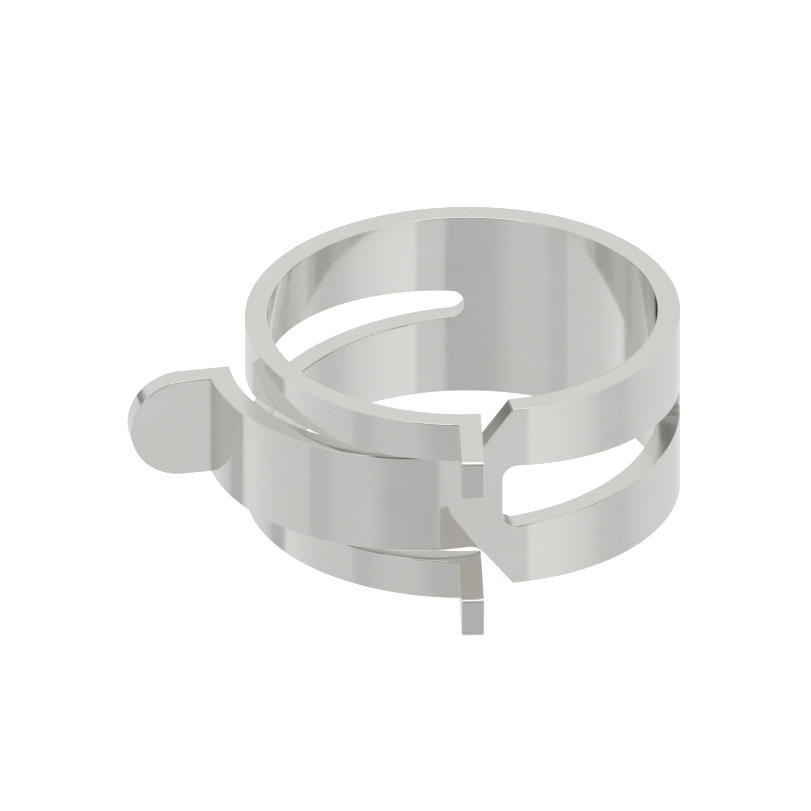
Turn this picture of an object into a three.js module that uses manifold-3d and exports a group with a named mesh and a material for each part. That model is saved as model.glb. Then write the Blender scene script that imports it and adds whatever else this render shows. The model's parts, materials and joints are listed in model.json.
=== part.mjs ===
// Spring band clamp for a hose: one strip of spring steel, stamped and rolled into a ring that wraps a little
// over one turn. One end is a fork of two legs, each with a small tang bent outwards. The other end narrows
// to a tongue that passes between the legs and ends in one large round tang. Squeezing the tangs towards each
// other opens the ring. The strip is built as its separate sections, with a narrow slit between neighbours,
// and four of the slits are where the ring flexes.
//
// Frame: millimetres, +Z up along the hose, origin on the ring's axis at the middle of the band's width.
// Positions along the strip are lengths of its outer face, from the legs' ends, round the back, to the tongue.

import * as THREE from 'three';
import { mergeVertices } from 'three/addons/utils/BufferGeometryUtils.js';
import Module from 'manifold-3d';

// Strip
const BAND_WIDTH = 15;
const THICKNESS = 1.7;
const SLIT = 0.3; // between sections that are rigid to each other
const FLEX_SLIT = 0.4; // between sections that flex against each other
const STATION_STEP = 0.85; // length of one flat facet along the strip
const CUTTER_STEP = 0.3;

// The roll: outer-face radius and turn of each stretch, in order. The straight stretch at the shoulders heads
// outwards, so that the tongue starts inside the legs' circle and ends outside it. A small sharp bend follows.
const FORK_RADIUS = 16.38;
const ROLL = [
  { radius: FORK_RADIUS, turn: 90 },
  { radius: 16.25, turn: 47.7 },
  { radius: 17, turn: 63 },
  { radius: 15.35, turn: 147.2 },
  { length: 5.53 },
  { radius: 1.5, turn: 4 },
  { radius: 15.8, turn: 84 },
];

// Window between the fork's legs: it tapers to a round tip at the middle of the back, and widens in a short
// step where the tongue starts to pass through it.
const WINDOW_TIP = 51.5;
const WINDOW_TIP_RADIUS = 1.15;
const WINDOW_TAPER = 0.07;
const WINDOW_STEP_FROM = 22;
const WINDOW_STEP_TO = 14.5;
const LEG_GAP_HALF = 4.35;

// Slot beside the tongue: round tip at the side, square end with round corners near the shoulders.
const SLOT_TIP = 75.4;
const SLOT_TIP_RADIUS = 1.1;
const SLOT_TAPER = 0.072;
const SLOT_END = 98.6;
const SLOT_CORNER_RADIUS = 1.2;

// Shoulders, where the band narrows to the tongue
const TONGUE_HALF = 4;
const SHOULDER_START = 97.8;
const SHOULDER_LENGTH = 2.7;
const SHOULDER_FILLET = 1.5;
const SHOULDER_END = 103;
const SHOULDER_CUT = 96.5;

// Places along the strip where it flexes. The fourth is the shoulders' end.
const FORK_FLEX = 44.3;
const LEG_FLEX = 22.9;
const SLOT_FLEX = 79.2;

// Tangs
const LEG_TANG_LENGTH = 5.8; // beyond the legs' outer face
const LEG_TANG_CORNER = 0.3;
const LEG_TANG_OFFSET = 0.3; // the bend starts this far from the foremost point of the circle
const LEG_TANG_DIRECTION = 272;
const LEG_TANG_ROOT = 1.3; // the plate reaches this far in from the outer face, clear of the shoulders
const TONGUE_TANG_LENGTH = 6.1;
const TONGUE_TANG_DIRECTION = 191;
const ARC_SEGMENTS = 20;

const half = BAND_WIDTH / 2;
const radians = THREE.MathUtils.degToRad;
const lerp = THREE.MathUtils.lerp;

// ---- The rolled strip -------------------------------------------------------------------------------------

// The outer face in plan: position and heading at a length along it. It starts at the front, runs to the
// left, and goes clockwise seen from above.
function stripPoint(length) {
  let x = 0;
  let y = -FORK_RADIUS;
  let heading = Math.PI;
  let left = length;
  for (const [index, stretch] of ROLL.entries()) {
    const turn = radians(stretch.turn ?? 0);
    const full = stretch.length ?? stretch.radius * turn;
    const last = index === ROLL.length - 1;
    const run = last ? left : Math.min(left, full);
    const bend = turn * (run / full);
    const chord = bend === 0 ? run : (2 * run * Math.sin(bend / 2)) / bend;
    x += chord * Math.cos(heading - bend / 2);
    y += chord * Math.sin(heading - bend / 2);
    heading -= bend;
    left -= run;
    if (left <= 0) break;
  }
  return { x, y, heading };
}

// A stretch of the strip between two heights that may vary along it. depthFrom and depthTo are measured
// inwards from the outer face.
function stripSection({ from, to, low, high, step = STATION_STEP, depthFrom = 0, depthTo = THICKNESS }) {
  const steps = Math.ceil((to - from) / step);
  const geometry = new THREE.BoxGeometry(1, 1, 1, steps, 1, 1);
  const point = geometry.attributes.position;
  for (let i = 0; i < point.count; i++) {
    const length = lerp(from, to, point.getX(i) + 0.5);
    const height = lerp(low(length), high(length), point.getY(i) + 0.5);
    const depth = lerp(depthFrom, depthTo, point.getZ(i) + 0.5);
    const { x, y, heading } = stripPoint(length);
    point.setXYZ(i, x + depth * Math.sin(heading), y - depth * Math.cos(heading), height);
  }
  return geometry;
}

const bandTop = () => half;
const bandBottom = () => -half;
const flipped = (edge) => (length) => -edge(length);

// Height of a round end of the given radius at a distance in from its tip
const roundEnd = (radius, distance) => Math.sqrt(Math.max(0, radius ** 2 - (radius - distance) ** 2));

// Half height of the window between the legs
function windowHalf(length) {
  const distance = WINDOW_TIP - length;
  if (distance < WINDOW_TIP_RADIUS) return roundEnd(WINDOW_TIP_RADIUS, distance);
  const tapered = WINDOW_TIP_RADIUS + WINDOW_TAPER * (distance - WINDOW_TIP_RADIUS);
  const step = 1 - THREE.MathUtils.smoothstep(length, WINDOW_STEP_TO, WINDOW_STEP_FROM);
  return lerp(tapered, LEG_GAP_HALF, step);
}

// Half height of the slot beside the tongue
function slotHalf(length) {
  const distance = length - SLOT_TIP;
  if (distance < SLOT_TIP_RADIUS) return roundEnd(SLOT_TIP_RADIUS, distance);
  const tapered = SLOT_TIP_RADIUS + SLOT_TAPER * (distance - SLOT_TIP_RADIUS);
  const toEnd = SLOT_END - length;
  if (toEnd >= SLOT_CORNER_RADIUS) return tapered;
  return tapered - SLOT_CORNER_RADIUS + roundEnd(SLOT_CORNER_RADIUS, toEnd);
}

// Half height of the band where it narrows, along a straight cut and a fillet, to the tongue
function shoulderHalf(length) {
  const slope = (half - TONGUE_HALF) / SHOULDER_LENGTH;
  const tangent = SHOULDER_FILLET * Math.tan(Math.atan(slope) / 2);
  const filletEnd = SHOULDER_START + SHOULDER_LENGTH + tangent;
  const filletStart = SHOULDER_START + SHOULDER_LENGTH - tangent * Math.cos(Math.atan(slope));
  if (length < SHOULDER_START) return half;
  if (length < filletStart) return half - slope * (length - SHOULDER_START);
  if (length > filletEnd) return TONGUE_HALF;
  return TONGUE_HALF + SHOULDER_FILLET - Math.sqrt(SHOULDER_FILLET ** 2 - (filletEnd - length) ** 2);
}

// ---- Cutting ----------------------------------------------------------------------------------------------

const wasm = await Module();
wasm.setup();

function toManifold(geometry) {
  const bare = geometry.clone();
  bare.deleteAttribute('normal');
  bare.deleteAttribute('uv');
  const merged = mergeVertices(bare, 1e-5);
  return new wasm.Manifold(
    new wasm.Mesh({
      numProp: 3,
      vertProperties: new Float32Array(merged.attributes.position.array),
      triVerts: new Uint32Array(merged.index.array),
    }),
  );
}

function cut(body, ...cutters) {
  const solid = cutters.reduce((left, cutter) => left.subtract(toManifold(cutter)), toManifold(body));
  const mesh = solid.getMesh();
  const geometry = new THREE.BufferGeometry();
  geometry.setAttribute('position', new THREE.BufferAttribute(new Float32Array(mesh.vertProperties), 3));
  geometry.setIndex(new THREE.BufferAttribute(new Uint32Array(mesh.triVerts), 1));
  geometry.computeVertexNormals();
  return geometry;
}

// A cutter through the strip's whole thickness, with the given half height
const throughCut = (from, to, edge) => stripSection({
  from, to, low: flipped(edge), high: edge, step: CUTTER_STEP, depthFrom: -THICKNESS, depthTo: 2 * THICKNESS,
});

// ---- Sections ---------------------------------------------------------------------------------------------

const clamp = new THREE.Group();
const tipClear = 0.01; // a cutter starts this far inside a round tip, where it already has some height

function addSection(name, colour, geometry) {
  const material = new THREE.MeshStandardMaterial({ color: colour, metalness: 0.95, roughness: 0.22 });
  const mesh = new THREE.Mesh(geometry, material);
  mesh.name = name;
  clamp.add(mesh);
  return mesh;
}

// Solid back of the band, with the tips of the window and of the slot
addSection('back_band', '#cbcac7', cut(
  stripSection({
    from: FORK_FLEX + FLEX_SLIT / 2, to: SLOT_FLEX - FLEX_SLIT / 2, low: bandBottom, high: bandTop,
  }),
  throughCut(FORK_FLEX - 1, WINDOW_TIP - tipClear, windowHalf),
  throughCut(SLOT_TIP + tipClear, SLOT_FLEX + 1, slotHalf),
));

// Shoulders: the end of the slot, the band's narrowing and the root of the tongue
addSection('tongue_shoulder', '#c9c8c4', cut(
  stripSection({
    from: SHOULDER_CUT + SLIT,
    to: SHOULDER_END - FLEX_SLIT / 2,
    low: flipped(shoulderHalf),
    high: shoulderHalf,
    step: CUTTER_STEP,
  }),
  throughCut(SHOULDER_CUT - 1, SLOT_END, slotHalf),
));

// The rails beside the window and the slot, in an upper and a lower copy
function addPair(side, kind, colour, from, to, inner) {
  const upper = stripSection({ from, to, low: inner, high: bandTop });
  const lower = stripSection({ from, to, low: bandBottom, high: flipped(inner) });
  addSection(`${side}_upper_${kind}`, colour, upper);
  addSection(`${side}_lower_${kind}`, colour, lower);
}

addPair('fork', 'rail', '#c6c5c2', LEG_FLEX + FLEX_SLIT / 2, FORK_FLEX - FLEX_SLIT / 2, windowHalf);
addPair('fork', 'leg', '#c2c1be', LEG_TANG_OFFSET + SLIT, LEG_FLEX - FLEX_SLIT / 2, windowHalf);
addPair('slot', 'rail', '#cccbc8', SLOT_FLEX + FLEX_SLIT / 2, SHOULDER_CUT, slotHalf);

// The tongue, from the shoulders to its tang
const stripEnd = ROLL.reduce((sum, { length, radius, turn }) => sum + (length ?? radius * radians(turn)), 0);
const tongueEdge = () => TONGUE_HALF;
addSection('tongue', '#bfbfbb', stripSection({
  from: SHOULDER_END + FLEX_SLIT / 2,
  to: stripEnd - SLIT,
  low: flipped(tongueEdge),
  high: tongueEdge,
}));

// ---- Tangs ------------------------------------------------------------------------------------------------

// A plate that stands outwards from the strip. Its outline lies in the plane of the direction it points in
// and Z, and starts inside the strip's outer face. side is 1 where the plate lies beyond the crease, clockwise, and -1
// where it lies the other way.
function tangPlate(outline, crease, direction, side) {
  const depth = side > 0 ? 0 : -THICKNESS;
  const geometry = new THREE.ExtrudeGeometry(outline, {
    depth: THICKNESS, bevelEnabled: false, curveSegments: ARC_SEGMENTS,
  });
  geometry.translate(0, 0, depth);
  const along = new THREE.Vector3(Math.cos(radians(direction)), Math.sin(radians(direction)), 0);
  const up = new THREE.Vector3(0, 0, 1);
  const across = new THREE.Vector3().crossVectors(along, up);
  const place = new THREE.Matrix4().makeBasis(along, up, across);
  place.setPosition(crease.x, crease.y, 0);
  return geometry.applyMatrix4(place);
}

// Legs' tangs: small plates with two round corners at the tip
function legTangOutline(bottom, top) {
  const tip = LEG_TANG_LENGTH;
  const corner = LEG_TANG_CORNER;
  const outline = new THREE.Shape();
  outline.moveTo(-LEG_TANG_ROOT, bottom);
  outline.lineTo(tip - corner, bottom);
  outline.absarc(tip - corner, bottom + corner, corner, -Math.PI / 2, 0, false);
  outline.absarc(tip - corner, top - corner, corner, 0, Math.PI / 2, false);
  outline.lineTo(-LEG_TANG_ROOT, top);
  outline.closePath();
  return outline;
}

const legCrease = { x: -LEG_TANG_OFFSET, y: -FORK_RADIUS };
const legTang = (bottom, top) => tangPlate(legTangOutline(bottom, top), legCrease, LEG_TANG_DIRECTION, -1);
addSection('fork_upper_tang', '#c8c7c4', legTang(LEG_GAP_HALF, half));
addSection('fork_lower_tang', '#aeaca9', legTang(-half, -LEG_GAP_HALF));

// Tongue's tang: a full round end as wide as the tongue
function tongueTangOutline() {
  const centre = TONGUE_TANG_LENGTH - TONGUE_HALF;
  const outline = new THREE.Shape();
  outline.moveTo(-THICKNESS, -TONGUE_HALF);
  outline.lineTo(centre, -TONGUE_HALF);
  outline.absarc(centre, 0, TONGUE_HALF, -Math.PI / 2, Math.PI / 2, false);
  outline.lineTo(-THICKNESS, TONGUE_HALF);
  outline.closePath();
  return outline;
}

addSection('tongue_tang', '#cac9c7', tangPlate(
  tongueTangOutline(), stripPoint(stripEnd), TONGUE_TANG_DIRECTION, 1,
));

export default clamp;
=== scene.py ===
import json
import math

import bmesh
import bpy
from mathutils import Matrix, Vector


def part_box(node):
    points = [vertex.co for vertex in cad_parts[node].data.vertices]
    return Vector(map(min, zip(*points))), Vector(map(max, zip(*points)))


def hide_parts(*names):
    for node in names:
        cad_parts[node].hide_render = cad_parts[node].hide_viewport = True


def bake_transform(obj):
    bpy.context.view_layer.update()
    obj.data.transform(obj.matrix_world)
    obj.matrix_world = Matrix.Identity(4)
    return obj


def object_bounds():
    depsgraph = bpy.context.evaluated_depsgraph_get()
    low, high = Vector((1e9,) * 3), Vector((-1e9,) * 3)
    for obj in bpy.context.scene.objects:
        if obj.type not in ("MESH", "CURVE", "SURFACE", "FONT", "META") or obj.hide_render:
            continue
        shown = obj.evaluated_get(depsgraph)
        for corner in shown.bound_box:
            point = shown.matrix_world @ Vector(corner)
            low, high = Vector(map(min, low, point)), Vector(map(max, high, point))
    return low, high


# Spring band clamp: one strip of bright spring steel rolled into a ring. Four skins cover its CAD sections,
# one across each place where the strip flexes, and they meet where the strip stays rigid, so that the ring
# reads as one piece of metal. A skin is cut out flat, given its thickness and tangs, and then rolled.
#
# Flat skins lie with X along the strip's outer face, from the legs' ends round the back to the tongue,
# Y as the depth inwards from the outer face, and Z as the height.

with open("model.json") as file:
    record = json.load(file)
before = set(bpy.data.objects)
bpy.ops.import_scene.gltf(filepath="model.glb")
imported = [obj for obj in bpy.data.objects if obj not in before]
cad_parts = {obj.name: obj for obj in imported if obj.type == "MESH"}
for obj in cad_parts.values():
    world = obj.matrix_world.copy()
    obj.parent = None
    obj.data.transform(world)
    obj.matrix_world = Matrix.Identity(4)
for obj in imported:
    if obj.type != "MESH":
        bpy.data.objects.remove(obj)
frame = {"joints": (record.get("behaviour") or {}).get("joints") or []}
cad_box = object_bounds()
joints = {joint["name"]: joint for joint in frame["joints"]}

MM = 0.001

# Strip
THICKNESS = 1.7 * MM
HALF_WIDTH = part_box("back_band")[1].z
TONGUE_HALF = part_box("tongue")[1].z
LEG_GAP_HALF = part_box("fork_upper_tang")[0].z

# The roll: outer-face radius and turn of each stretch, in order. The straight stretch is at the shoulders,
# and a small sharp bend follows it.
FORK_RADIUS = 16.38 * MM
ROLL = (
    {"radius": FORK_RADIUS, "turn": math.radians(90)},
    {"radius": 16.25 * MM, "turn": math.radians(47.7)},
    {"radius": 17 * MM, "turn": math.radians(63)},
    {"radius": 15.35 * MM, "turn": math.radians(147.2)},
    {"length": 5.53 * MM},
    {"radius": 1.5 * MM, "turn": math.radians(4)},
    {"radius": 15.8 * MM, "turn": math.radians(84)},
)

# Window between the fork's legs
WINDOW_TIP = 51.5 * MM
WINDOW_TIP_RADIUS = 1.15 * MM
WINDOW_TAPER = 0.07
WINDOW_STEP = (14.5 * MM, 22 * MM)

# Slot beside the tongue
SLOT_TIP = 75.4 * MM
SLOT_TIP_RADIUS = 1.1 * MM
SLOT_TAPER = 0.072
SLOT_END = 98.6 * MM
SLOT_CORNER_RADIUS = 1.2 * MM

# Shoulders, where the band narrows to the tongue
SHOULDER_START = 97.8 * MM
SHOULDER_LENGTH = 2.7 * MM
SHOULDER_FILLET = 1.5 * MM

# Tangs
LEG_CREASE = 0.3 * MM
LEG_TANG_LENGTH = 5.8 * MM
LEG_TANG_CORNER = 0.3 * MM
LEG_TANG_DIRECTION = math.radians(272)
TONGUE_TANG_LENGTH = 6.1 * MM
TONGUE_TANG_DIRECTION = math.radians(191)

# Where neighbouring skins meet, and how far to either side of each flex the lengths handed to bends lie
FORK_SEAM = 33.5 * MM
BACK_SEAM = 60 * MM
SLOT_SEAM = 90 * MM
SEAM_FLAT = 0.22 * MM  # to either side of a seam
BEND_REACH = 9 * MM
TONGUE_BEND = (100.6 * MM, 110.5 * MM)

# Fineness of the skins
STEP = 0.5 * MM
FINE_STEP = 0.25 * MM
CLOSEST = 0.03 * MM  # two lengths nearer than this are taken as one
FLEX_SAMPLES = 4000
TIP_SEGMENTS = 6
TANG_SEGMENTS = 24
EDGE_RADIUS = 0.055 * MM
EDGE_SEGMENTS = 2
SHARP_ANGLE = math.radians(20)  # faces that meet at less shade as one
CUT_ANGLE = math.radians(50)  # edges sharper than this are rounded
FLAT_ANGLE = math.radians(1)
FACES_ALONG = 0.9  # share of a unit normal along an axis, from which a face looks along it
FACES_ACROSS = 0.3
NEAR = 0.001 * MM
MERGE = 8 * NEAR


# ---- The rolled strip ------------------------------------------------------------------------------------


def strip_point(length):
    """Plan position of the outer face at a length along the strip, and the heading there."""
    x, y, heading = 0.0, -FORK_RADIUS, math.pi
    left = length
    for stretch in ROLL:
        turn = stretch.get("turn", 0.0)
        full = stretch.get("length", stretch.get("radius", 0.0) * turn)
        run = left if stretch is ROLL[-1] else min(left, full)
        bend = turn * run / full
        chord = 2 * run * math.sin(bend / 2) / bend if bend else run
        x += chord * math.cos(heading - bend / 2)
        y += chord * math.sin(heading - bend / 2)
        heading -= bend
        left -= run
        if left <= 0:
            break
    return x, y, heading


def rolled(length, depth, height):
    """Place of a point of the flat strip. Each seam lies in the middle of a short flat."""
    if any(is_near(length, met) for met in (FORK_SEAM, BACK_SEAM, SLOT_SEAM)):
        before, after = (rolled(length + side * SEAM_FLAT, depth, height) for side in (-1, 1))
        return (before + after) / 2
    x, y, heading = strip_point(length)
    return Vector((x + depth * math.sin(heading), y - depth * math.cos(heading), height))


STRETCHES = [part.get("length", part.get("radius", 0.0) * part.get("turn", 0.0)) for part in ROLL]
STRIP_END = sum(STRETCHES)
ROLL_CHANGES = [sum(STRETCHES[:count]) for count in range(1, len(STRETCHES))]


def tang_point(crease, direction, length, depth, height):
    """Place of a point beyond the crease, on the plate that stands outwards in that direction."""
    x, y, _ = strip_point(crease)
    along = Vector((math.cos(direction), math.sin(direction), 0))
    across = along.cross(Vector((0, 0, 1)))
    return Vector((x, y, height)) - along * depth + across * (length - crease)


def flex_length(joint):
    """Length along the strip at which a hinge of the record lies."""
    hinge = Vector(joints[joint]["pos_m"])
    samples = [STRIP_END * i / FLEX_SAMPLES for i in range(FLEX_SAMPLES + 1)]
    return min(samples, key=lambda length: (rolled(length, THICKNESS / 2, 0) - hinge).length)


# ---- Outlines of the flat strip --------------------------------------------------------------------------


def round_end(radius, distance):
    """Half height of a round end at a distance in from its tip."""
    return math.sqrt(max(0.0, radius**2 - (radius - distance) ** 2))


def smoothstep(value, low, high):
    share = min(1.0, max(0.0, (value - low) / (high - low)))
    return share * share * (3 - 2 * share)


def window_half(length):
    distance = WINDOW_TIP - length
    if distance <= 0:
        return 0.0
    if distance < WINDOW_TIP_RADIUS:
        return round_end(WINDOW_TIP_RADIUS, distance)
    tapered = WINDOW_TIP_RADIUS + WINDOW_TAPER * (distance - WINDOW_TIP_RADIUS)
    step = 1 - smoothstep(length, *WINDOW_STEP)
    return tapered + (LEG_GAP_HALF - tapered) * step


def slot_half(length):
    distance = length - SLOT_TIP
    if distance <= 0:
        return 0.0
    if distance < SLOT_TIP_RADIUS:
        return round_end(SLOT_TIP_RADIUS, distance)
    tapered = SLOT_TIP_RADIUS + SLOT_TAPER * (distance - SLOT_TIP_RADIUS)
    to_end = SLOT_END - length
    if to_end >= SLOT_CORNER_RADIUS:
        return tapered
    return tapered - SLOT_CORNER_RADIUS + round_end(SLOT_CORNER_RADIUS, max(0.0, to_end))


def shoulder_half(length):
    """Half height of the band where it narrows, along a straight cut and a fillet, to the tongue."""
    slope = (HALF_WIDTH - TONGUE_HALF) / SHOULDER_LENGTH
    tangent = SHOULDER_FILLET * math.tan(math.atan(slope) / 2)
    fillet_end = SHOULDER_START + SHOULDER_LENGTH + tangent
    fillet_start = SHOULDER_START + SHOULDER_LENGTH - tangent * math.cos(math.atan(slope))
    if length < SHOULDER_START:
        return HALF_WIDTH
    if length < fillet_start:
        return HALF_WIDTH - slope * (length - SHOULDER_START)
    if length > fillet_end:
        return TONGUE_HALF
    return TONGUE_HALF + SHOULDER_FILLET - math.sqrt(SHOULDER_FILLET**2 - (fillet_end - length) ** 2)


# ---- Flat skins ------------------------------------------------------------------------------------------


def even(start, end, step=STEP):
    """Even steps between two lengths, with one of them at each change of the roll."""
    stops = [start, *(change for change in ROLL_CHANGES if start < change < end), end]
    lengths = [start]
    for low, high in zip(stops, stops[1:]):
        count = math.ceil((high - low) / step)
        lengths += [low + (high - low) * i / count for i in range(1, count + 1)]
    return lengths


def seam(length, inwards):
    """The half of a seam's flat that belongs to one of the two skins that meet there."""
    return [length, length + inwards * SEAM_FLAT]


def round_tip(tip, radius, inwards):
    turns = [math.pi / 2 * i / TIP_SEGMENTS for i in range(TIP_SEGMENTS + 1)]
    return [tip + inwards * radius * (1 - math.cos(turn)) for turn in turns]


def in_order(*runs):
    """All the lengths of these runs in order, without any that lie hard by another."""
    ordered = []
    for length in sorted(x for run in runs for x in run):
        if not ordered or length - ordered[-1] > CLOSEST:
            ordered.append(length)
    return ordered


def add_panel(bm, lengths, heights):
    """Adds a flat grid with a column at each length and its rows at the heights there."""
    columns, rows = len(lengths) - 1, len(heights(lengths[0])) - 1
    grid = bmesh.ops.create_grid(bm, x_segments=columns, y_segments=rows, size=1)
    for v in grid["verts"]:
        column = round((v.co.x + 1) / 2 * columns)
        row = round((v.co.y + 1) / 2 * rows)
        length = lengths[column]
        v.co = (length, 0, heights(length)[row])


def is_near(value, target):
    return abs(value - target) < 2 * NEAR


def whole(bm):
    return [*bm.verts, *bm.edges, *bm.faces]


def thicken(bm):
    """Mirrors the upper half of a flat skin below its middle, and gives both their thickness."""
    bmesh.ops.mirror(bm, geom=whole(bm), matrix=Matrix.Identity(4), merge_dist=NEAR, axis="Z")
    bmesh.ops.remove_doubles(bm, verts=bm.verts, dist=NEAR)
    bmesh.ops.recalc_face_normals(bm, faces=bm.faces)
    made = bmesh.ops.extrude_face_region(bm, geom=bm.faces[:])
    pulled = [g for g in made["geom"] if isinstance(g, bmesh.types.BMVert)]
    bmesh.ops.translate(bm, verts=pulled, vec=(0, THICKNESS, 0))
    bmesh.ops.recalc_face_normals(bm, faces=bm.faces)


def pull_out(bm, faces, length):
    """Extrudes faces outwards from the strip by a length, and returns the faces at the new end."""
    made = bmesh.ops.extrude_face_region(bm, geom=faces)
    pulled = [g for g in made["geom"] if isinstance(g, bmesh.types.BMVert)]
    bmesh.ops.translate(bm, verts=pulled, vec=(0, -length, 0))
    bmesh.ops.delete(bm, geom=faces, context="FACES")
    return [g for g in made["geom"] if isinstance(g, bmesh.types.BMFace)]


def outer_faces(bm, low, high):
    """Faces of the strip's outer side between two lengths."""
    return [
        f for f in bm.faces
        if f.normal.y < -FACES_ALONG
        and is_near(f.calc_center_median().y, 0)
        and low < f.calc_center_median().x < high
    ]


def tip_edges(bm, depth, heights):
    """Edges that lie across a tang's tip at the given heights."""
    return [
        e for e in bm.edges
        if all(is_near(v.co.y, depth) for v in e.verts)
        and any(all(is_near(abs(v.co.z), height) for v in e.verts) for height in heights)
        and is_near(e.verts[0].co.z, e.verts[1].co.z)
    ]


def bevel(bm, edges, radius, segments):
    bmesh.ops.bevel(
        bm, geom=edges, offset=radius, segments=segments, profile=0.5, affect="EDGES", material=-1,
        clamp_overlap=False,
    )


def soften_edges(bm, seams):
    """Rounds every cut edge a little, apart from those of the hidden ends where two skins meet."""
    cut = [
        e for e in bm.edges
        if e.calc_face_angle(0) > CUT_ANGLE
        and not any(all(is_near(v.co.x, length) for v in e.verts) for length in seams)
    ]
    bevel(bm, cut, EDGE_RADIUS, EDGE_SEGMENTS)


def join_flat_faces(bm, verts):
    """Makes one face of each group that lies in one plane, among these vertices."""
    chosen = set(verts)
    edges = [e for e in bm.edges if all(v in chosen for v in e.verts)]
    bmesh.ops.dissolve_limit(
        bm, angle_limit=FLAT_ANGLE, use_dissolve_boundaries=False, verts=verts, edges=edges,
    )


def mark_cut_faces(bm):
    """Gives the second finish to the faces across the strip's thickness."""
    for f in bm.faces:
        f.material_index = int(abs(f.normal.y) < FACES_ACROSS and not is_tang_side(f))


def is_tang_side(face):
    """The two broad sides of a tang look along the strip, and keep the rolled finish."""
    return abs(face.normal.x) > FACES_ALONG and face.calc_center_median().y < -2 * EDGE_RADIUS


def skin(name, bm, place, finishes):
    """Rolls a flat skin into its place and makes it a piece."""
    for v in bm.verts:
        v.co = place(*v.co)
    bmesh.ops.recalc_face_normals(bm, faces=bm.faces)
    mesh = bpy.data.meshes.new(name)
    bm.to_mesh(mesh)
    bm.free()
    for finish in finishes:
        mesh.materials.append(finish)
    mesh.shade_smooth()
    mesh.set_sharp_from_angle(angle=SHARP_ANGLE)
    piece = bpy.data.objects.new(name, mesh)
    bpy.context.scene.collection.objects.link(piece)
    return piece


# ---- Finishes --------------------------------------------------------------------------------------------


class Socket:
    """An output of a shader node that can stand in a Python sum."""

    def __init__(self, graph, output):
        self.graph = graph
        self.output = output

    def combine(self, operation, first, second):
        return self.graph.add("Math", {"operation": operation}, {0: first, 1: second})["Value"]

    def __add__(self, other):
        return self.combine("ADD", self, other)

    def __mul__(self, other):
        return self.combine("MULTIPLY", self, other)

    def __truediv__(self, other):
        return self.combine("DIVIDE", self, other)


class Made:
    """A new node's outputs, by name."""

    def __init__(self, graph, node):
        self.graph = graph
        self.node = node

    def __getitem__(self, name):
        return Socket(self.graph, self.node.outputs[name])


class Graph:
    """The node tree of a material or of the world."""

    def __init__(self, owner):
        owner.use_nodes = True
        self.tree = owner.node_tree
        self.tree.nodes.clear()

    def add(self, kind, settings=None, inputs=None):
        """A node of a kind with its settings, then the values or links of its sockets."""
        node = self.tree.nodes.new("ShaderNode" + kind)
        for name, value in (settings or {}).items():
            if name == "stops":
                self.set_stops(node.color_ramp, value)
            else:
                setattr(node, name, value)
        for name, value in (inputs or {}).items():
            if isinstance(value, Socket):
                self.tree.links.new(value.output, node.inputs[name])
            else:
                node.inputs[name].default_value = value
        return Made(self, node)

    @staticmethod
    def set_stops(ramp, stops):
        while len(ramp.elements) < len(stops):
            ramp.elements.new(1.0)
        for element, (position, colour) in zip(ramp.elements, stops):
            element.position = position
            element.color = colour

    def between(self, value, low, high, start=0.0, end=1.0):
        """start below low, end above high, and a smooth change between them."""
        return self.add(
            "MapRange", {"interpolation_type": "SMOOTHSTEP"},
            {"Value": value, "From Min": low, "From Max": high, "To Min": start, "To Max": end},
        )["Result"]


def streaks(graph, coordinates, scale, detail):
    """Noise drawn out along two axes by a scale of its own on each axis."""
    stretched = graph.add("Mapping", {}, {"Vector": coordinates, "Scale": scale})["Vector"]
    return graph.add(
        "TexNoise", {}, {"Vector": stretched, "Scale": 1.0, "Detail": detail, "Roughness": 0.6},
    )["Fac"]


# Shares of the grain and of the cloudiness in the steel's colour and in its gloss
COLOUR_GRAIN, COLOUR_CLOUD = 0.55, 0.45
GLOSS_GRAIN, GLOSS_CLOUD = 0.4, 0.6
NOISE_RANGE = (0.3, 0.7)
GRAIN_DETAIL = 3.0
CLOUD_DETAIL = 2.0
CLOUD_SCALE = (180, 180, 180)


def steel(name, colours, roughness, grain_scale, grain_depth):
    """Bright spring steel with a fine grain, faint cloudiness and a slightly uneven gloss."""
    material = bpy.data.materials.new(name)
    graph = Graph(material)
    coordinates = graph.add("TexCoord")["Object"]
    grain = streaks(graph, coordinates, grain_scale, GRAIN_DETAIL)
    cloud = streaks(graph, coordinates, CLOUD_SCALE, CLOUD_DETAIL)
    shade = graph.between(grain * COLOUR_GRAIN + cloud * COLOUR_CLOUD, *NOISE_RANGE)
    colour = graph.add(
        "Mix", {"data_type": "RGBA"}, {"Factor": shade, "A": colours[0], "B": colours[1]},
    )["Result"]
    gloss = graph.between(cloud * GLOSS_CLOUD + grain * GLOSS_GRAIN, *NOISE_RANGE, *roughness)
    relief = graph.add("Bump", {}, {"Strength": 1.0, "Distance": grain_depth, "Height": grain})["Normal"]
    shader = graph.add(
        "BsdfPrincipled", {},
        {"Base Color": colour, "Metallic": 1.0, "Roughness": gloss, "Normal": relief},
    )["BSDF"]
    graph.add("OutputMaterial", {}, {"Surface": shader})
    return material


rolled_steel = steel(
    "rolled_steel",
    colours=((0.775, 0.772, 0.748, 1), (0.81, 0.806, 0.786, 1)),
    roughness=(0.06, 0.11),
    grain_scale=(120, 120, 9000),
    grain_depth=0.000012 * MM,
)
sheared_steel = steel(
    "sheared_steel",
    colours=((0.765, 0.76, 0.735, 1), (0.80, 0.795, 0.772, 1)),
    roughness=(0.12, 0.2),
    grain_scale=(2500, 2500, 400),
    grain_depth=0.00004 * MM,
)
FINISHES = (rolled_steel, sheared_steel)


# ---- Skins -----------------------------------------------------------------------------------------------


def band_rows(inner):
    """Heights of the two edges of the band's upper half, with the given inner edge."""
    return lambda length: (inner(length), HALF_WIDTH)


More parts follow.
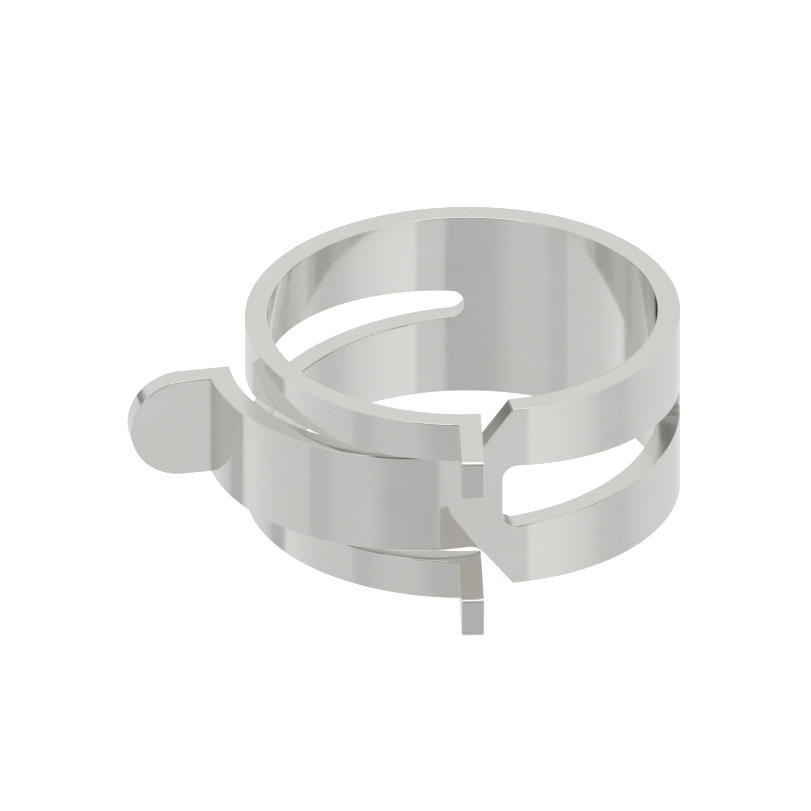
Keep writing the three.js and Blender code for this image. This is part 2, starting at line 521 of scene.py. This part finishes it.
def bends(piece, bodies, start, end):
    """Works out the strip's middle at the two lengths without keeping it, and bakes the piece's placement
    into its mesh; the bodies are not used.
    """
    middle = THICKNESS / 2
    rolled(start, middle, 0)
    rolled(end, middle, 0)
    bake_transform(piece)


def back_skin():
    """The back of the band with the window's tip, and the rails beside the window."""
    bm = bmesh.new()
    lengths = in_order(
        seam(FORK_SEAM, 1), even(FORK_SEAM + SEAM_FLAT, WINDOW_TIP - WINDOW_TIP_RADIUS),
        round_tip(WINDOW_TIP, WINDOW_TIP_RADIUS, -1), even(WINDOW_TIP, BACK_SEAM - SEAM_FLAT),
        seam(BACK_SEAM, -1),
    )
    add_panel(bm, lengths, band_rows(window_half))
    thicken(bm)
    soften_edges(bm, (FORK_SEAM, BACK_SEAM))
    mark_cut_faces(bm)
    piece = skin("back_hoop", bm, rolled, FINISHES)
    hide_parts("back_band", "fork_upper_rail", "fork_lower_rail")
    flex = flex_length("fork_flex")
    bends(piece, ("back", "fork_bow"), flex + BEND_REACH, flex - BEND_REACH)


def legs_skin():
    """The fork's two legs with their tangs."""
    bm = bmesh.new()
    lengths = in_order(
        [LEG_CREASE - THICKNESS], even(LEG_CREASE, FORK_SEAM - SEAM_FLAT), seam(FORK_SEAM, -1),
    )
    add_panel(bm, lengths, band_rows(window_half))
    thicken(bm)
    pull_out(bm, outer_faces(bm, LEG_CREASE - THICKNESS, LEG_CREASE), LEG_TANG_LENGTH)
    bevel(bm, tip_edges(bm, -LEG_TANG_LENGTH, (LEG_GAP_HALF, HALF_WIDTH)), LEG_TANG_CORNER, TIP_SEGMENTS)
    soften_edges(bm, (FORK_SEAM,))
    mark_cut_faces(bm)

    def place(length, depth, height):
        if length < LEG_CREASE - NEAR or depth < -NEAR:
            return tang_point(LEG_CREASE, LEG_TANG_DIRECTION, length, depth, height)
        return rolled(length, depth, height)

    piece = skin("fork_legs", bm, place, FINISHES)
    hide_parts("fork_upper_leg", "fork_lower_leg", "fork_upper_tang", "fork_lower_tang")
    flex = flex_length("leg_flex")
    bends(piece, ("fork_bow", "fork_end"), flex + BEND_REACH, flex - BEND_REACH)


def slot_skin():
    """The side of the band with the slot's tip, and the rails beside the slot."""
    bm = bmesh.new()
    lengths = in_order(
        seam(BACK_SEAM, 1), even(BACK_SEAM + SEAM_FLAT, SLOT_TIP),
        round_tip(SLOT_TIP, SLOT_TIP_RADIUS, 1), even(SLOT_TIP + SLOT_TIP_RADIUS, SLOT_SEAM - SEAM_FLAT),
        seam(SLOT_SEAM, -1),
    )
    add_panel(bm, lengths, band_rows(slot_half))
    thicken(bm)
    soften_edges(bm, (BACK_SEAM, SLOT_SEAM))
    mark_cut_faces(bm)
    piece = skin("slot_hoop", bm, rolled, FINISHES)
    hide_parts("slot_upper_rail", "slot_lower_rail")
    flex = flex_length("slot_flex")
    bends(piece, ("back", "slot_bow"), flex - BEND_REACH, flex + BEND_REACH)


def tongue_skin():
    """The end of the slot, the shoulders, the tongue and its round tang."""
    bm = bmesh.new()
    corner = slot_half(SLOT_END)
    rail_lengths = in_order(
        seam(SLOT_SEAM, 1), even(SLOT_SEAM + SEAM_FLAT, SHOULDER_START, FINE_STEP),
        round_tip(SLOT_END, SLOT_CORNER_RADIUS, -1),
    )
    add_panel(bm, rail_lengths, lambda length: (slot_half(length), shoulder_half(length)))
    crease = STRIP_END
    shoulder_end = SHOULDER_START + SHOULDER_LENGTH + SHOULDER_FILLET
    solid_lengths = in_order(
        even(SLOT_END, shoulder_end, FINE_STEP), even(shoulder_end, crease), [crease + THICKNESS],
    )
    add_panel(bm, solid_lengths, lambda length: (0, corner, shoulder_half(length)))
    bmesh.ops.remove_doubles(bm, verts=bm.verts, dist=NEAR)
    thicken(bm)
    straight = TONGUE_TANG_LENGTH - TONGUE_HALF
    tip = pull_out(bm, outer_faces(bm, crease, crease + THICKNESS), straight)
    merged = bmesh.ops.dissolve_faces(bm, faces=tip)["region"]
    pull_out(bm, merged, TONGUE_HALF)
    between = [
        v for v in bm.verts
        if is_near(v.co.y, -TONGUE_TANG_LENGTH) and abs(v.co.z) < TONGUE_HALF - NEAR
    ]
    bmesh.ops.dissolve_verts(bm, verts=between)
    nearly_all = TONGUE_HALF - 2 * NEAR
    bevel(bm, tip_edges(bm, -TONGUE_TANG_LENGTH, (TONGUE_HALF,)), nearly_all, TANG_SEGMENTS)
    bmesh.ops.remove_doubles(bm, verts=bm.verts, dist=MERGE)
    join_flat_faces(bm, [v for v in bm.verts if v.co.y < -NEAR])
    soften_edges(bm, (SLOT_SEAM,))
    mark_cut_faces(bm)

    def place(length, depth, height):
        if length > crease + NEAR or depth < -NEAR:
            return tang_point(crease, TONGUE_TANG_DIRECTION, length, depth, height)
        return rolled(length, depth, height)

    piece = skin("tongue_and_tang", bm, place, FINISHES)
    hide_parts("tongue_shoulder", "tongue", "tongue_tang")
    bends(piece, ("slot_bow", "tongue_end"), *TONGUE_BEND)


back_skin()
legs_skin()
slot_skin()
tongue_skin()


# ---- Studio ----------------------------------------------------------------------------------------------

# Brightness of the studio's walls seen round the clamp, by compass angle in degrees. Two angles close
# together are the edge of a panel.
WALLS = (
    (0, 0.64), (12, 0.71), (28, 0.76), (62, 0.765), (74, 0.81), (95, 0.83), (112, 0.78), (130, 0.77),
    (138, 0.74), (147, 0.65), (149, 0.54), (159.5, 0.54), (161.5, 0.81), (168, 0.82), (178, 0.76),
    (188, 0.71), (208.5, 0.69), (211, 0.605), (219, 0.605), (226, 0.66), (244, 0.665), (251, 0.61),
    (257, 0.56), (282, 0.54), (283.5, 0.69), (298.5, 0.71), (300.5, 0.86), (313, 0.85), (336, 0.76),
    (347, 0.665), (360, 0.64),
)
CEILING = 0.80
CEILING_FROM = (0.05, 0.35)  # heights between which the walls turn into the ceiling
CEILING_PANEL = 1.6
CEILING_PANEL_FROM = (0.93, 0.96)  # and those between which the ceiling panel starts

# Cards in front of the walls: from and to which share of a full turn each one reaches, how soft its upright
# edges are, and from and to which height
BACK_CARD = (0.367, 0.42, 0.003, -0.02, 0.3)
FRONT_CARD = (0.68, 0.82, 0.01, 0.05, 0.3)
WARM_CARD = (0.66, 0.88, 0.01, 0.34, 0.64)
CARD_SOFTNESS = 0.02
DARK_COLOUR = (0.16, 0.16 * 0.96, 0.16 * 0.88, 1)
WARM_COLOUR = (0.62, 0.62 * 0.96, 0.62 * 0.93, 1)
BACKDROP = 1.0
FLOOR_GLOW = 0.62
FLOOR_HALF = 2
CAMERA_ELEVATION = math.radians(30)
CAMERA_DISTANCE = 0.4
CAMERA_REACH = (0.01, 20)
VIEW_WIDTH = 60.825 * MM
VIEW_CENTRE = Vector((-4.31 * MM, 0, -0.26 * MM))


def grey(tone):
    return (tone, tone, tone, 1)


def studio_walls():
    """Soft grey walls and a bright ceiling panel, two dark cards and a warm one, with a pale backdrop."""
    world = bpy.data.worlds.new("studio")
    bpy.context.scene.world = world
    graph = Graph(world)
    direction = graph.add("TexCoord")["Generated"]
    parts = graph.add("SeparateXYZ", {}, {"Vector": direction})
    angle = parts["Y"].combine("ARCTAN2", parts["Y"], parts["X"]) / (2 * math.pi)
    compass = angle.combine("FRACT", angle, 0)
    height = parts["Z"]
    walls = graph.add(
        "ValToRGB", {"stops": [(degrees / 360, grey(tone)) for degrees, tone in WALLS]}, {"Fac": compass},
    )["Color"]

    def mix(factor, first, second):
        return graph.add("Mix", {"data_type": "RGBA"}, {"Factor": factor, "A": first, "B": second})["Result"]

    def band(value, low, high, edge):
        rise = graph.between(value, low - edge, low + edge)
        fall = graph.between(value, high - edge, high + edge, 1, 0)
        return rise * fall

    def card(start, end, softness, low, high):
        return band(compass, start, end, softness) * band(height, low, high, CARD_SOFTNESS)

    room = mix(graph.between(height, *CEILING_FROM), walls, grey(CEILING))
    room = mix(graph.between(height, *CEILING_PANEL_FROM), room, grey(CEILING_PANEL))
    room = mix(card(*BACK_CARD) + card(*FRONT_CARD), room, DARK_COLOUR)
    room = mix(card(*WARM_CARD), room, WARM_COLOUR)
    seen = graph.add("LightPath")["Is Camera Ray"]
    shown = mix(seen, room, grey(BACKDROP))
    light = graph.add("Background", {}, {"Color": shown})["Background"]
    graph.add("OutputWorld", {}, {"Surface": light})


def floor():
    """A large pale table, softly lit from below."""
    bm = bmesh.new()
    bmesh.ops.create_grid(bm, x_segments=1, y_segments=1, size=FLOOR_HALF)
    bmesh.ops.translate(bm, verts=bm.verts, vec=(0, 0, cad_box[0].z))
    mesh = bpy.data.meshes.new("floor")
    bm.to_mesh(mesh)
    bm.free()
    material = bpy.data.materials.new("pale_floor")
    graph = Graph(material)
    shader = graph.add(
        "BsdfPrincipled", {},
        {
            "Base Color": (0.9, 0.9, 0.9, 1), "Roughness": 0.9, "Specular IOR Level": 0.0,
            "Emission Color": (1, 1, 1, 1), "Emission Strength": FLOOR_GLOW,
        },
    )["BSDF"]
    graph.add("OutputMaterial", {}, {"Surface": shader})
    mesh.materials.append(material)
    table = bpy.data.objects.new("floor", mesh)
    table.visible_glossy = False
    bpy.context.scene.collection.objects.link(table)


def camera():
    data = bpy.data.cameras.new("camera")
    data.type = "ORTHO"
    data.ortho_scale = VIEW_WIDTH
    data.clip_start, data.clip_end = CAMERA_REACH
    eye = bpy.data.objects.new("camera", data)
    back = Vector((0, -math.cos(CAMERA_ELEVATION), math.sin(CAMERA_ELEVATION)))
    eye.location = VIEW_CENTRE + back * CAMERA_DISTANCE
    eye.rotation_euler = (math.pi / 2 - CAMERA_ELEVATION, 0, 0)
    bpy.context.scene.collection.objects.link(eye)
    bpy.context.scene.camera = eye


studio_walls()
floor()
camera()
bpy.context.scene.view_settings.view_transform = "Standard"
